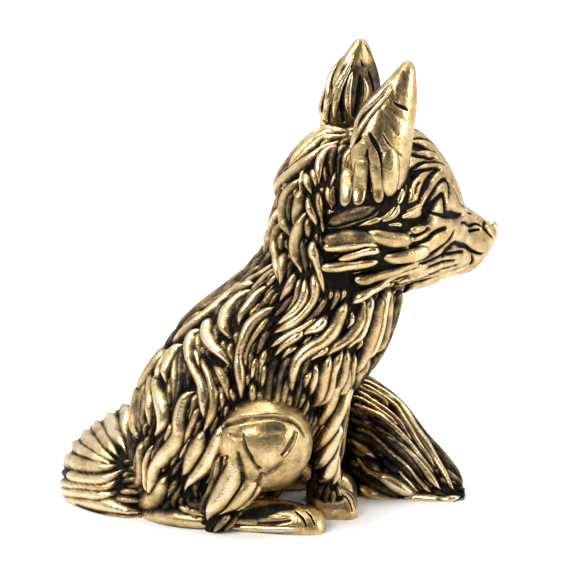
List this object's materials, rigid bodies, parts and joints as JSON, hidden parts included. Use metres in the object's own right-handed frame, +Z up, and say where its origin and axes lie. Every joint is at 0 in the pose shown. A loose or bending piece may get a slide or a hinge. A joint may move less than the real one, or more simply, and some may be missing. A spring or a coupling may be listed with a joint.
{
  "type": "fox figurine",
  "caption": "Small seated fox ornament in antiqued cast brass, with its head turned aside, long carved fur and a tail laid round its flank, on a flat underside.",
  "frame": {"origin": "on the flat underside of the body, in the body's upright middle plane", "axes": "+X is the way the body faces, +Y is the fox's left, +Z is up"},
  "size_m": [0.0341, 0.0211, 0.0355],
  "materials": {
    "antique_brass": "polished on the raised fur, blackened in the grooves"
  },
  "bodies": {
    "root": {"body": "antique_brass", "head": "antique_brass", "left_ear": "antique_brass", "right_ear": "antique_brass", "left_foreleg": "antique_brass", "right_foreleg": "antique_brass", "left_hind_leg": "antique_brass", "right_hind_leg": "antique_brass", "tail": "antique_brass"}
  },
  "joints": []
}
